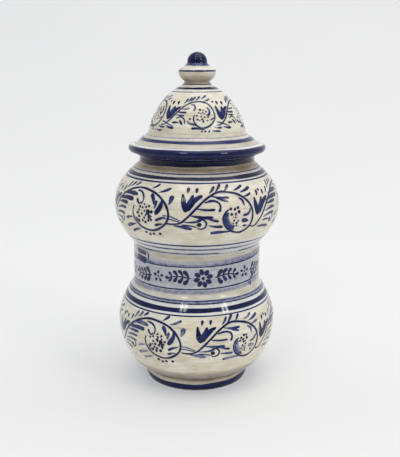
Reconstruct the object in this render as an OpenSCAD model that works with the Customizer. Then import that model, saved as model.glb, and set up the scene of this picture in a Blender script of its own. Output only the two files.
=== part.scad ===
// Lidded apothecary jar of tin-glazed earthenware, in millimetres.
// Two bellies with a straight waist between them, a short neck with an
// everted lip, a luted foot ring, and a lift-off lid with a luted knob.
// Z is the axis of turning, and the foot ring's underside is z = 0.

/* [Heights] */

// Overall height, from the resting face to the top of the knob
total_h = 301.2; // [296:0.2:310]

// Height of the foot ring, up to the groove under the lower belly
foot_h = 12.5; // [10:0.5:15]

// Height of the lower belly's widest ring
low_belly_z = 59.5; // [52:0.5:66]

// Height of the lower edge of the straight waist
waist_low_z = 95.6; // [90:0.2:100]

// Height of the upper edge of the straight waist
waist_high_z = 132.6; // [127:0.2:136]

// Height of the upper belly's widest ring
high_belly_z = 166; // [162:0.5:172]

// Height at which the shoulder reaches the neck
neck_z = 205; // [201:0.5:207]

// Height of the rim's flat top, on which the lid rests
rim_z = 213.5; // [212:0.5:215]

/* [Jar] */

// Widest diameter of the lower belly
low_belly_d = 146.6; // [140:0.2:152]

// Widest diameter of the upper belly
high_belly_d = 149.8; // [144:0.2:156]

// Diameter of the straight waist
waist_d = 117.4; // [112:0.2:124]

// Outer diameter of the neck
neck_d = 104.2; // [101:0.2:106]

// Diameter of the everted lip at the rim
lip_d = 111; // [109.6:0.2:116]

// Wall thickness of the thrown vessel
wall = 6; // [4.5:0.1:6.5]

// Thickness of the vessel's floor
floor_t = 7; // [5:0.5:9]

// Reach of the soft hollow where the bellies run into the waist and neck
blend = 2; // [1:0.2:6]

/* [Foot ring] */

// Diameter of the foot ring at its fullest
foot_d = 96.6; // [94:0.2:102]

// Diameter of the groove between foot ring and lower belly
groove_d = 91.2; // [88:0.2:91.6]

// Width of the ring's resting face
foot_land = 7; // [5:0.5:9]

/* [Lid] */

// Diameter of the lid's rounded flange
flange_d = 124.2; // [121:0.2:130]

// Thickness of the flange's rounded edge
flange_t = 7.4; // [6:0.2:8]

// Gap between the rim's flat top and the lid's seat
seat_gap = 0.3; // [0.3:0.1:0.6]

// Diameter at which the lid's slope meets the foot of the dome
dome_d = 87.4; // [85:0.2:91]

// Height of the dome's foot
dome_z = 231; // [229:0.5:233]

// Thickness of the dome's wall
dome_wall = 5; // [4:0.2:6]

// Depth of the locating collar below the lid's seat
collar_h = 8.5; // [6:0.5:12]

// Thickness of the locating collar
collar_t = 4; // [3:0.2:4.6]

// Gap all round between the collar and the inside of the neck
collar_gap = 1.4; // [0.8:0.1:2.2]

/* [Knob] */

// Diameter of the knob's disc
knob_d = 33.6; // [31:0.2:37]

// Diameter of the knob's neck at its narrowest
knob_neck_d = 23; // [20:0.2:24]

// Diameter of the rounded button on top of the disc
button_d = 18.2; // [16:0.2:20.4]

// Height of the knob, from where it is luted on to its top
knob_h = 28.6; // [27:0.2:32]

/* [Hidden] */

$fn = 180;

// height at which the knob is luted to the dome
knob_base_z = total_h - knob_h;

// how far a belly has drawn in, from 0 at its widest ring to 1 at its end
function draw(v, a, b) = v <= 0 ? 0 : b == 1 ? pow(v, a) : 1 - pow(max(0, 1 - pow(min(v, 1), a)), 1 / b);

// larger of two radii with a soft hollow where they cross
function soft(p, q, k) = max(p, q) + pow(k - min(k, abs(p - q)), 2) / (4 * k);

// lower belly: a quarter ellipse below its widest ring, a fuller cone above
function low_belly(z, rmax, rfoot, zfoot, rtop) =
    z < low_belly_z
        ? rmax - (rmax - rfoot) * draw((low_belly_z - z) / (low_belly_z - zfoot), 2, 2)
        : rmax - (rmax - rtop) * draw((z - low_belly_z) / (waist_low_z - low_belly_z), 1.7, 1);

// upper belly: drawn in below and above its widest ring
function high_belly(z, rmax, rlow, rtop) =
    z < high_belly_z
        ? rmax - (rmax - rlow) * draw((high_belly_z - z) / (high_belly_z - waist_high_z), 2, 1)
        : rmax - (rmax - rtop) * draw((z - high_belly_z) / (neck_z - high_belly_z), 2.3, 1);

// radius of the vessel at height z, for a skin t inside the outer one
function vessel_r(z, t, zfoot, rfoot) =
    let (low = low_belly(z, low_belly_d / 2 - t, rfoot, zfoot, waist_d / 2 - t),
         high = high_belly(z, high_belly_d / 2 - t, waist_d / 2 - t, neck_d / 2 - t),
         waist = waist_d / 2 - t,
         neck = neck_d / 2 - t)
    z < low_belly_z ? low
    : z < (waist_low_z + waist_high_z) / 2 ? soft(low, waist, blend)
    : z < high_belly_z ? soft(high, waist, blend)
    : soft(high, neck, blend);

// heights at which the skin is drawn: close together where it turns in
function heights(zfoot, ztop) = concat(
    [for (i = [0 : 17]) low_belly_z - (low_belly_z - zfoot) * cos(i * 5)],
    [for (i = [0 : 76]) low_belly_z + (ztop - low_belly_z) * i / 76]);

// one point of a smooth curve through four stations
function station(p0, p1, p2, p3, t) =
    0.5 * (2 * p1 + (p2 - p0) * t + (2 * p0 - 5 * p1 + 4 * p2 - p3) * t * t
        + (3 * p1 - p0 - 3 * p2 + p3) * t * t * t);

// a smooth curve through all the stations of a list, n points between each pair
function through(s, n) = concat(
    [for (i = [0 : len(s) - 2], j = [0 : n - 1])
        station(s[max(i - 1, 0)], s[i], s[i + 1], s[min(i + 2, len(s) - 1)], j / n)],
    [s[len(s) - 1]]);

// dome of the lid: radius at height z for a skin t inside the outer one
function dome_r(z, t, h) =
    (dome_d / 2 - t) * sqrt(max(0, 1 - pow(max(0, min(1, (z - dome_z) / h)), 1.5)));

dome_h = knob_base_z - dome_z + 2.6;
seat_z = rim_z + seat_gap;
collar_r = neck_d / 2 - wall - collar_gap;
flange_r = flange_d / 2;
edge_r = flange_t / 2;

// Vessel: both bellies, waist, neck and everted lip, open at the mouth.
module jar_body() {
    z_neck = rim_z - 3.6;
    r_neck = neck_d / 2;
    in_floor = foot_h + floor_t;
    r_lip = lip_d / 2;
    outer = [for (z = heights(foot_h, z_neck)) [vessel_r(z, 0, foot_h, groove_d / 2), z]];
    lip = through([
        [r_neck + 0.1, z_neck + 0.4],
        [r_neck + 0.8, (z_neck + rim_z) / 2 - 0.6],
        [r_lip - 0.8, rim_z - 1.7],
        [r_lip, rim_z - 1.0],
        [r_lip - 0.5, rim_z - 0.2],
        [r_lip - 1.3, rim_z]], 4);
    mouth = through([
        [r_neck - wall + 1.6, rim_z],
        [r_neck - wall + 0.5, rim_z - 0.6],
        [r_neck - wall + 0.12, rim_z - 1.8]], 4);
    inner = [for (z = heights(in_floor, z_neck)) [vessel_r(z, wall, in_floor, groove_d / 2 - 9), z]];
    color([0.90, 0.86, 0.75])
        rotate_extrude()
            polygon(concat(
                [[0, foot_h]],
                outer, lip, mouth,
                [for (i = [len(inner) - 1 : -1 : 0]) inner[i]],
                [[0, in_floor]]));
}

// Foot ring: thrown apart and luted under the vessel, bare where it rests.
module foot_ring() {
    r = foot_d / 2;
    r_groove = groove_d / 2;
    side = through([
        [r - 2.4, 0],
        [r - 1.5, 0.5],
        [r - 0.6, 2],
        [r, 5],
        [r - 0.2, foot_h - 3.3],
        [r - 1.3, foot_h - 1.5],
        [r_groove, foot_h]], 5);
    color([0.14, 0.16, 0.38])
        rotate_extrude()
            polygon(concat(
                side,
                [[r_groove - 7.6, foot_h],
                 [r - 2.4 - foot_land + 0.4, 1.2],
                 [r - 2.4 - foot_land + 1.2, 0]]));
}

// Lid shell: collar, flat seat, rounded flange, slope and hollow dome.
module lid_shell() {
    r_seat = flange_r - edge_r;
    top = seat_z + flange_t;
    slope_r = dome_d / 2 + 0.6;
    in_top = knob_base_z - dome_wall;
    edge = [for (i = [0 : 12]) [r_seat + edge_r * sin(i * 15), seat_z + edge_r - edge_r * cos(i * 15)]];
    slope = through([
        [r_seat - 1.2, top + 0.25],
        [r_seat - 4.2, top + 1.7],
        [(r_seat + slope_r) / 2 - 1.4, (top + dome_z) / 2 + 0.3],
        [slope_r + 2, dome_z - 2.1],
        [slope_r, dome_z - 0.2]], 4);
    dome = [for (i = [1 : 30])
        let (z = dome_z + (knob_base_z - dome_z) * sin(i * 3))
        [soft(dome_r(z, 0, dome_h), knob_neck_d / 2, 5), z]];
    hollow_h = in_top - dome_z;
    hollow = [for (i = [1 : 22]) [dome_r(dome_z + hollow_h * cos(i * 4), dome_wall, hollow_h), dome_z + hollow_h * cos(i * 4)]];
    throat = through([
        [dome_d / 2 - dome_wall, dome_z - 0.4],
        [(dome_d / 2 - dome_wall + collar_r - collar_t) / 2, (dome_z + seat_z) / 2 + 2],
        [collar_r - collar_t, seat_z + 2]], 4);
    collar = through([
        [collar_r - collar_t, seat_z - collar_h + 1.2],
        [collar_r - collar_t + 0.4, seat_z - collar_h + 0.3],
        [collar_r - collar_t + 1.3, seat_z - collar_h]], 3);
    collar_out = through([
        [collar_r - 1.3, seat_z - collar_h],
        [collar_r - 0.4, seat_z - collar_h + 0.3],
        [collar_r, seat_z - collar_h + 1.2]], 3);
    color([0.92, 0.88, 0.78])
        rotate_extrude()
            polygon(concat(
                [[0, in_top]],
                hollow, throat, collar, collar_out,
                [[collar_r, seat_z]],
                edge, slope, dome,
                [[0, knob_base_z]]));
}

// Knob: waisted disc with a rounded button on top, luted to the dome.
module lid_knob() {
    r_disc = knob_d / 2;
    r_neck = knob_neck_d / 2;
    r_button = button_d / 2;
    r_base = soft(dome_r(knob_base_z, 0, dome_h), r_neck, 5);
    stations = [
        [r_base, 0],
        [r_neck + 0.15, 0.07],
        [r_neck, 0.10],
        [r_neck + (r_disc - r_neck) * 0.38, 0.16],
        [r_neck + (r_disc - r_neck) * 0.78, 0.25],
        [r_neck + (r_disc - r_neck) * 0.96, 0.335],
        [r_disc, 0.41],
        [r_disc * 0.94, 0.482],
        [r_disc * 0.79, 0.546],
        [(r_disc * 0.79 + r_button) / 2 - 0.2, 0.593],
        [r_button, 0.66],
        [r_button * 0.965, 0.755],
        [r_button * 0.845, 0.85],
        [r_button * 0.60, 0.934],
        [r_button * 0.30, 0.982]];
    skin = through([for (s = stations) [s[0], knob_base_z + s[1] * knob_h]], 4);
    color([0.16, 0.17, 0.40])
        rotate_extrude()
            polygon(concat([[0, knob_base_z]], skin, [[0, total_h]]));
}

jar_body();
foot_ring();
lid_shell();
lid_knob();
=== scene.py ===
import math
import random

import bpy
import numpy as np
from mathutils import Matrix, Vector


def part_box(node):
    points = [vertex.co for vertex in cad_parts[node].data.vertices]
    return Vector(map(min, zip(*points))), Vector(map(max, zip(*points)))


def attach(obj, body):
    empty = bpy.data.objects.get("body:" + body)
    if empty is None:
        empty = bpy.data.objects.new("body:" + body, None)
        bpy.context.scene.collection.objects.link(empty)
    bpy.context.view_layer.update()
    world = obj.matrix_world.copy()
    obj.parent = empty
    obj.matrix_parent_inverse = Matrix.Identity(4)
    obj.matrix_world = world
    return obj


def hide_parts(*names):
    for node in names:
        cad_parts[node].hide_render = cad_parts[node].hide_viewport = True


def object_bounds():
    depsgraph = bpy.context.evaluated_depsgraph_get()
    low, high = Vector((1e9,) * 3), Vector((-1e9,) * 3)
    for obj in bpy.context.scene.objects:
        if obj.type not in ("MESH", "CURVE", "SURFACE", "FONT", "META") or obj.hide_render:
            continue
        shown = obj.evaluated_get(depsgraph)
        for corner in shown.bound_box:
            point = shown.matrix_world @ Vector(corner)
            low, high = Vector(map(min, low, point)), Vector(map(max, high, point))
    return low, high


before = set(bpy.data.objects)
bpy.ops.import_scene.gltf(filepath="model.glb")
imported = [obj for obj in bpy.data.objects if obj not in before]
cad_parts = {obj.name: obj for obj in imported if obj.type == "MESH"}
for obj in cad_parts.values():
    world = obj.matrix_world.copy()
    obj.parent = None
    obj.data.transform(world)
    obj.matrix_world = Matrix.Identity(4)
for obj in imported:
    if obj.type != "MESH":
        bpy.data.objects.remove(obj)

CAD_LO, CAD_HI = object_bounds()

# ------------------------------------------------------------------ sizes
# Everything below is written in millimetres in the CAD frame and scaled by
# the CAD box, so a part packed at another size still fits its painting.
TALL = 301.2
K = (CAD_HI.z - CAD_LO.z) / TALL
Z0 = CAD_LO.z
TAU = 2 * math.pi
SEG = 256

jar_lo, jar_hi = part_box("jar_body")
foot_lo, foot_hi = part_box("foot_ring")
lid_lo, lid_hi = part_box("lid_shell")
knob_lo, knob_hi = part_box("lid_knob")


def mm(v):
    return (v - Z0) / K


FOOT_H = mm(foot_hi.z)
RIM_Z = mm(jar_hi.z)
BASE_Z = mm(lid_hi.z)
TOP_Z = mm(knob_hi.z)
LOW_Z, WLOW_Z, WHIGH_Z, HIGH_Z, NECK_Z = 59.5, 95.6, 132.6, 166.0, 205.0
R_HIGH = jar_hi.x / K
R_LOW, R_WAIST, R_NECK, R_LIP = 73.3, 58.7, 52.1, 55.5
R_FOOT = foot_hi.x / K
R_GROOVE = 45.6
WALL, FLOOR_T, BLEND = 6.0, 7.0, 2.0
R_FLANGE = lid_hi.x / K
FLANGE_T, SEAT_GAP = 7.4, 0.3
R_DOME, DOME_Z, DOME_WALL = 43.7, 231.0, 5.0
COLLAR_H, COLLAR_T, COLLAR_GAP = 8.5, 4.0, 1.4
R_KNOB, R_KNECK, R_BUTTON = knob_hi.x / K, 11.5, 9.1
KNOB_H = TOP_Z - BASE_Z
SEAT_Z = RIM_Z + SEAT_GAP
R_COLLAR = R_NECK - WALL - COLLAR_GAP
DOME_H = BASE_Z - DOME_Z + 2.6
TILT = 0.006  # the rings were turned a hair out of level
BOLD = 1.4  # how heavily the brush was pressed
SKIN = 0.12  # the drawn surface lies this far inside the CAD one, so paint fits


# --------------------------------------------------------------- profiles
def draw_in(v, a, b):
    if v <= 0:
        return 0.0
    return v**a if b == 1 else 1 - max(0.0, 1 - min(v, 1.0) ** a) ** (1 / b)


def soft(p, q, k):
    return max(p, q) + (k - min(k, abs(p - q))) ** 2 / (4 * k)


def vessel_r(z, t=0.0, zf=None, rf=None):
    zf = FOOT_H if zf is None else zf
    rf = R_GROOVE if rf is None else rf
    w, n = R_WAIST - t, R_NECK - t
    if z < LOW_Z:
        return (R_LOW - t) - (R_LOW - t - rf) * draw_in((LOW_Z - z) / (LOW_Z - zf), 2, 2)
    low = (R_LOW - t) - (R_LOW - t - w) * draw_in((z - LOW_Z) / (WLOW_Z - LOW_Z), 1.7, 1)
    if z < HIGH_Z:
        high = (R_HIGH - t) - (R_HIGH - t - w) * draw_in((HIGH_Z - z) / (HIGH_Z - WHIGH_Z), 2, 1)
    else:
        high = (R_HIGH - t) - (R_HIGH - t - n) * draw_in((z - HIGH_Z) / (NECK_Z - HIGH_Z), 2.3, 1)
    if z < (WLOW_Z + WHIGH_Z) / 2:
        return soft(low, w, BLEND)
    if z < HIGH_Z:
        return soft(high, w, BLEND)
    return soft(high, n, BLEND)


def through(stations, n):
    s = [np.array(p, float) for p in stations]
    out = []
    for i in range(len(s) - 1):
        p0, p1, p2, p3 = s[max(i - 1, 0)], s[i], s[i + 1], s[min(i + 2, len(s) - 1)]
        for j in range(n):
            t = j / n
            out.append(
                0.5
                * (
                    2 * p1
                    + (p2 - p0) * t
                    + (2 * p0 - 5 * p1 + 4 * p2 - p3) * t * t
                    + (3 * p1 - p0 - 3 * p2 + p3) * t**3
                )
            )
    out.append(s[-1])
    return [tuple(p) for p in out]


def vessel_heights(zf, zt, n_low=34, n_up=150):
    low = [LOW_Z - (LOW_Z - zf) * math.cos(math.radians(90.0 * i / n_low)) for i in range(n_low)]
    return low + [LOW_Z + (zt - LOW_Z) * i / n_up for i in range(n_up + 1)]


def dome_r(z, t, h):
    return (R_DOME - t) * math.sqrt(max(0.0, 1 - max(0.0, min(1.0, (z - DOME_Z) / h)) ** 1.5))


def jar_outer():
    zn = RIM_Z - 3.6
    pts = [(vessel_r(z), z) for z in vessel_heights(FOOT_H, zn)]
    pts += through(
        [
            (R_NECK + 0.1, zn + 0.4),
            (R_NECK + 0.8, (zn + RIM_Z) / 2 - 0.6),
            (R_LIP - 0.8, RIM_Z - 1.7),
            (R_LIP, RIM_Z - 1.0),
            (R_LIP - 0.5, RIM_Z - 0.2),
            (R_LIP - 1.3, RIM_Z),
        ],
        6,
    )
    return pts


def jar_inner():
    zn = RIM_Z - 3.6
    zf = FOOT_H + FLOOR_T
    mouth = through(
        [
            (R_NECK - WALL + 1.6, RIM_Z),
            (R_NECK - WALL + 0.5, RIM_Z - 0.6),
            (R_NECK - WALL + 0.12, RIM_Z - 1.8),
        ],
        5,
    )
    inner = [(vessel_r(z, WALL, zf, R_GROOVE - 9), z) for z in vessel_heights(zf, zn, 22, 90)]
    return mouth + inner[::-1]


def foot_side():
    r = R_FOOT
    return through(
        [
            (r - 2.4, 0),
            (r - 1.5, 0.5),
            (r - 0.6, 2),
            (r, 5),
            (r - 0.2, FOOT_H - 3.3),
            (r - 1.3, FOOT_H - 1.5),
            (R_GROOVE, FOOT_H),
        ],
        7,
    )


def lid_outer():
    rs, e = R_FLANGE - FLANGE_T / 2, FLANGE_T / 2
    top, sl = SEAT_Z + FLANGE_T, R_DOME + 0.6
    edge = [
        (rs + e * math.sin(math.radians(i * 7.5)), SEAT_Z + e - e * math.cos(math.radians(i * 7.5)))
        for i in range(25)
    ]
    slope = through(
        [
            (rs - 1.2, top + 0.25),
            (rs - 4.2, top + 1.7),
            ((rs + sl) / 2 - 1.4, (top + DOME_Z) / 2 + 0.3),
            (sl + 2, DOME_Z - 2.1),
            (sl, DOME_Z - 0.2),
        ],
        6,
    )
    dome = []
    for i in range(1, 61):
        z = DOME_Z + (BASE_Z - DOME_Z) * math.sin(math.radians(i * 1.5))
        dome.append((soft(dome_r(z, 0, DOME_H), R_KNECK, 5), z))
    return edge + slope + dome


def lid_inner():
    """From the collar's outer top, down round the collar and up to the dome's crown."""
    in_top = BASE_Z - DOME_WALL
    hh = in_top - DOME_Z
    ri = R_COLLAR - COLLAR_T
    zb = SEAT_Z - COLLAR_H
    out = through([(R_COLLAR, zb + 1.2), (R_COLLAR - 0.4, zb + 0.3), (R_COLLAR - 1.3, zb)], 4)
    inn = through([(ri + 1.3, zb), (ri + 0.4, zb + 0.3), (ri, zb + 1.2)], 4)
    throat = through(
        [
            (ri, SEAT_Z + 2),
            ((R_DOME - DOME_WALL + ri) / 2, (DOME_Z + SEAT_Z) / 2 + 2),
            (R_DOME - DOME_WALL, DOME_Z - 0.4),
        ],
        5,
    )
    hollow = [
        (dome_r(DOME_Z + hh * math.cos(math.radians(i * 4)), DOME_WALL, hh), DOME_Z + hh * math.cos(math.radians(i * 4)))
        for i in range(22, 0, -1)
    ]
    return [(R_COLLAR, SEAT_Z)] + out + inn + throat + hollow + [(0.0, in_top)]


def knob_outer():
    d, n, b = R_KNOB - 0.03, R_KNECK, R_BUTTON
    r0 = soft(dome_r(BASE_Z, 0, DOME_H), n, 5)
    st = [
        (r0, 0),
        (n + 0.15, 0.07),
        (n, 0.10),
        (n + (d - n) * 0.38, 0.16),
        (n + (d - n) * 0.78, 0.25),
        (n + (d - n) * 0.96, 0.335),
        (d, 0.41),
        (d * 0.94, 0.482),
        (d * 0.79, 0.546),
        ((d * 0.79 + b) / 2 - 0.2, 0.593),
        (b, 0.66),
        (b * 0.965, 0.755),
        (b * 0.845, 0.85),
        (b * 0.60, 0.934),
        (b * 0.30, 0.982),
        (0.0, 1.0),
    ]
    return through([(r, BASE_Z + s * KNOB_H) for r, s in st], 7)


class Skin:
    """An outer profile, bottom to top, measured along its own length."""

    def __init__(self, pts, inset=SKIN):
        p = np.array(pts, float)
        keep = np.concatenate([[True], np.hypot(*np.diff(p, axis=0).T) > 1e-4])
        p = p[keep]
        s = np.concatenate([[0], np.cumsum(np.hypot(*np.diff(p, axis=0).T))])
        n = max(60, int(s[-1] / 0.25))
        ss = np.linspace(0, s[-1], n)
        r, z = np.interp(ss, s, p[:, 0]), np.interp(ss, s, p[:, 1])
        k = np.array([1, 2, 3, 2, 1.0]) / 9
        pad = lambda a: np.convolve(np.concatenate([[a[0]] * 2, a, [a[-1]] * 2]), k, "valid")
        rs, zs = pad(r), pad(z)
        dr, dz = np.gradient(rs, ss), np.gradient(zs, ss)
        ln = np.hypot(dr, dz) + 1e-12
        self.s, self.r, self.z = ss, r - inset * dz / ln, z + inset * dr / ln
        self.nr, self.nz = dz / ln, -dr / ln
        self.length = s[-1]

    def at(self, s):
        s = np.asarray(s, float)
        r, z = np.interp(s, self.s, self.r), np.interp(s, self.s, self.z)
        nr, nz = np.interp(s, self.s, self.nr), np.interp(s, self.s, self.nz)
        ln = np.hypot(nr, nz)
        return r, z, nr / ln, nz / ln

    def s_of(self, z):
        return float(np.interp(z, self.z, self.s))


skin_jar = Skin(jar_outer())
skin_foot = Skin(foot_side())
skin_lid = Skin(lid_outer())
skin_knob = Skin(knob_outer())


# -------------------------------------------------------------- materials
def lin(*c):
    """sRGB 0-255 to linear, with alpha."""
    out = []
    for v in c:
        v /= 255.0
        out.append(v / 12.92 if v <= 0.04045 else ((v + 0.055) / 1.055) ** 2.4)
    return tuple(out) + (1.0,)


class Nodes:
    def __init__(self, tree):
        self.t = tree
        self.x = 0

    def new(self, kind, **props):
        n = self.t.nodes.new(kind)
        self.x += 40
        n.location = (self.x, 0)
        for k, v in props.items():
            setattr(n, k, v)
        return n

    def link(self, a, b):
        self.t.links.new(a, b)

    def math(self, op, a, b=None, c=None, clamp=False):
        n = self.new("ShaderNodeMath", operation=op, use_clamp=clamp)
        for i, v in enumerate((a, b, c)):
            if v is None:
                continue
            if isinstance(v, (int, float)):
                n.inputs[i].default_value = v
            else:
                self.link(v, n.inputs[i])
        return n.outputs[0]

    def range(self, v, a, b, c, d, clamp=True):
        n = self.new("ShaderNodeMapRange", clamp=clamp)
        self.link(v, n.inputs[0])
        for i, q in enumerate((a, b, c, d)):
            n.inputs[i + 1].default_value = q
        return n.outputs[0]

    def mix(self, fac, a, b, blend="MIX"):
        n = self.new("ShaderNodeMix", data_type="RGBA", blend_type=blend)
        n.clamp_factor = True
        for sock, v in ((n.inputs[0], fac), (n.inputs[6], a), (n.inputs[7], b)):
            if isinstance(v, (int, float)):
                sock.default_value = v
            elif isinstance(v, tuple):
                sock.default_value = v
            else:
                self.link(v, sock)
        return n.outputs[2]

    def noise(self, vec, scale, detail=2.0, rough=0.5, dist=0.0):
        n = self.new("ShaderNodeTexNoise")
        n.inputs["Scale"].default_value = scale
        n.inputs["Detail"].default_value = detail
        n.inputs["Roughness"].default_value = rough
        n.inputs["Distortion"].default_value = dist
        self.link(vec, n.inputs["Vector"])
        return n.outputs[0]

    def mapping(self, vec, scale, loc=(0, 0, 0)):
        n = self.new("ShaderNodeMapping")
        n.inputs["Scale"].default_value = scale
        n.inputs["Location"].default_value = loc
        self.link(vec, n.inputs["Vector"])
        return n.outputs[0]

    def ramp(self, v, stops, interp="LINEAR"):
        n = self.new("ShaderNodeValToRGB")
        n.color_ramp.interpolation = interp
        e = n.color_ramp.elements
        while len(e) > 1:
            e.remove(e[-1])
        e[0].position, e[0].color = stops[0]
        for p, c in stops[1:]:
            q = e.new(p)
            q.color = c
        self.link(v, n.inputs[0])
        return n.outputs[0]


def grey(v):
    return (v, v, v, 1.0)


# where brown patina and thicker glaze gather, and painted shade in the hollows under the lid's flange, under the knob,
# at the waist and above the foot groove, as (height in mm, amount)
PATINA_AND_SHADE = [
    (0.0, 0.10), (8.4, 0.40), (11.2, 0.90), (13.0, 1.0), (20.5, 1.0), (24.0, 0.60), (27.0, 0.04), (82.0, 0.12),
    (93.0, 0.40), (120.0, 0.20), (124.0, 0.40), (130.5, 0.70), (133.5, 0.40), (146.0, 0.10),
    (190.0, 0.12), (200.0, 0.55), (202.0, 1.0), (208.0, 1.0), (214.0, 0.15), (223.0, 0.45), (226.4, 0.75), (230.4, 0.45), (234.0, 0.12), (264.0, 0.10),
    (270.0, 0.30), (273.0, 0.35), (274.6, 0.90), (277.6, 0.92), (281.4, 0.46), (284.0, 0.22), (301.0, 0.05),
]
# where the glaze pooled thick and pale between close cobalt lines, with a painted reflection along the top edge of the
# lid's flange near 221 mm
POOLS_AND_REFLECTION = [
    (77.6, 0.0), (78.6, 0.70), (88.4, 0.60), (92.0, 0.45), (93.4, 0.10), (99.0, 0.10), (100.4, 0.55), (121.0, 0.55), (123.0, 0.25),
    (129.6, 0.10), (132.0, 0.90), (142.0, 0.85), (143.6, 0.0), (192.8, 0.0), (194.0, 0.45), (201.6, 0.30), (202.6, 0.0),
    (220.7, 0.0), (221.0, 0.9), (221.5, 0.9), (222.0, 0.10), (227.4, 0.10), (227.9, 0.45), (228.7, 0.45), (229.4, 0.0),
    (264.6, 0.0), (265.8, 0.3), (272.2, 0.3), (273.4, 0.0), (285.2, 0.0), (286.2, 0.32),
]


def glaze_group():
    """Tin glaze: its colour, its roughness and its relief, from the place on the jar."""
    g = bpy.data.node_groups.new("tin_glaze", "ShaderNodeTree")
    for n, t in (("Color", "NodeSocketColor"), ("Roughness", "NodeSocketFloat"), ("Height", "NodeSocketFloat")):
        g.interface.new_socket(n, in_out="OUTPUT", socket_type=t)
    n = Nodes(g)
    tc = n.new("ShaderNodeTexCoord").outputs["Object"]
    p = n.mapping(tc, (0.001 / K,) * 3)
    sep = n.new("ShaderNodeSeparateXYZ")
    n.link(p, sep.inputs[0])
    z = sep.outputs[2]
    # slow cloudy shift between ivory and a yellower stone colour
    cloud = n.noise(p, 26.0, 3.0, 0.55)
    cloud2 = n.noise(n.mapping(p, (1, 1, 1.6), (3.1, 0.7, 1.9)), 62.0, 4.0, 0.62, 0.3)
    # fine brush streaks that run round the pot, as the glaze was laid on at the wheel
    streak = n.noise(n.mapping(p, (0.10, 0.10, 1.0)), 520.0, 4.0, 0.62)
    streak2 = n.noise(n.mapping(p, (0.05, 0.05, 1.0), (1, 2, 0.3)), 210.0, 3.0, 0.6)
    c0 = n.mix(n.range(cloud, 0.36, 0.66, 0, 1), lin(236, 234, 221), lin(228, 222, 202))
    c1 = n.mix(n.math("MULTIPLY", n.range(cloud2, 0.42, 0.68, 0, 1), 0.68), c0, lin(213, 202, 173))
    s = n.math("MULTIPLY", n.range(streak, 0.40, 0.72, 0, 1), n.range(streak2, 0.34, 0.66, 0.15, 1.0))
    c2 = n.mix(n.math("MULTIPLY", s, 0.62), c1, lin(172, 152, 118))
    pale = n.math("MULTIPLY", n.range(streak, 0.44, 0.26, 0, 1), 0.35)
    c3 = n.mix(pale, c2, lin(238, 235, 222))
    # patina and painted shade by height, broken up by the clouds
    zr = n.math("DIVIDE", z, 0.32)
    patina_shade_ramp = n.ramp(zr, [(h / 320.0, grey(a)) for h, a in PATINA_AND_SHADE])
    patina_shade = n.math("MULTIPLY", patina_shade_ramp, n.range(cloud2, 0.30, 0.62, 0.74, 1.0), clamp=True)
    patina_shade = n.math("MULTIPLY", patina_shade, n.range(streak2, 0.25, 0.6, 0.80, 1.0))
    c4 = n.mix(patina_shade, c3, lin(136, 118, 93), "MIX")
    # pale pooled glaze between lines, and a painted reflection along the top of the lid's flange
    pool = n.ramp(zr, [(0.0, grey(0))] + [(h / 320.0, grey(a)) for h, a in POOLS_AND_REFLECTION])
    pool = n.math("MULTIPLY", pool, n.range(streak2, 0.30, 0.62, 1.0, 0.55))
    c4 = n.mix(pool, c4, lin(226, 229, 234))
    # iron specks and pinholes
    v = n.new("ShaderNodeTexVoronoi")
    v.inputs["Scale"].default_value = 170.0
    n.link(p, v.inputs["Vector"])
    near = n.range(v.outputs["Distance"], 0.055, 0.11, 1.0, 0.0)
    pick = n.new("ShaderNodeSeparateColor")
    n.link(v.outputs["Color"], pick.inputs[0])
    sp = n.math("MULTIPLY", near, n.range(pick.outputs[0], 0.80, 0.86, 0, 0.75))
    c5 = n.mix(sp, c4, lin(116, 84, 54))
    r0 = n.noise(n.mapping(p, (1, 1, 2.5), (5, 5, 5)), 95.0, 3.0, 0.6)
    rough = n.math("ADD", n.range(r0, 0.3, 0.7, 0.07, 0.15), n.math("MULTIPLY", sp, 0.25))
    rough = n.math("ADD", rough, n.math("MULTIPLY", patina_shade, 0.10))
    # the kiln left the upper belly and the dome a little more satin than the rest
    satin = n.ramp(zr, [(0.0, grey(0)), (140 / 320, grey(0)), (160 / 320, grey(1)), (188 / 320, grey(1)), (199 / 320, grey(0.1)), (209 / 320, grey(0)), (224 / 320, grey(0)), (232 / 320, grey(1)), (264 / 320, grey(1)), (274 / 320, grey(0))])
    rough = n.math("ADD", rough, n.math("MULTIPLY", satin, 0.15))
    # throwing rings, faint, and the soft unevenness of a fired glaze
    rings = n.noise(n.mapping(p, (0.03, 0.03, 1.0), (0, 0, 4)), 260.0, 2.0, 0.5)
    peel = n.noise(p, 150.0, 2.0, 0.5)
    fine = n.noise(p, 620.0, 2.0, 0.5)
    h = n.math("ADD", n.math("MULTIPLY", rings, 0.55), n.math("MULTIPLY", peel, 0.8))
    h = n.math("ADD", h, n.math("MULTIPLY", fine, 0.10))
    h = n.math("ADD", h, n.math("MULTIPLY", s, -0.12))
    h = n.math("ADD", h, n.math("MULTIPLY", sp, -0.5))
    out = n.new("NodeGroupOutput")
    n.link(c5, out.inputs[0])
    n.link(rough, out.inputs[1])
    n.link(h, out.inputs[2])
    return g


GLAZE = glaze_group()


def base_material(name):
    m = bpy.data.materials.new(name)
    m.use_nodes = True
    m.node_tree.nodes.clear()
    n = Nodes(m.node_tree)
    out = n.new("ShaderNodeOutputMaterial")
    b = n.new("ShaderNodeBsdfPrincipled")
    n.link(b.outputs[0], out.inputs[0])
    return m, n, b


def glaze_bump(n, b, h, strength=0.32, distance=0.00022):
    bump = n.new("ShaderNodeBump")
    bump.inputs["Strength"].default_value = strength
    bump.inputs["Distance"].default_value = distance
    n.link(h, bump.inputs["Height"])
    n.link(bump.outputs[0], b.inputs["Normal"])


def glaze_material(name, shade=1.0):
    m, n, b = base_material(name)
    g = n.new("ShaderNodeGroup")
    g.node_tree = GLAZE
    n.link(g.outputs[0], b.inputs["Base Color"])
    n.link(g.outputs[1], b.inputs["Roughness"])
    b.inputs["IOR"].default_value = 1.52
    b.inputs["Specular IOR Level"].default_value = 0.5
    glaze_bump(n, b, g.outputs[2])
    return m


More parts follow.
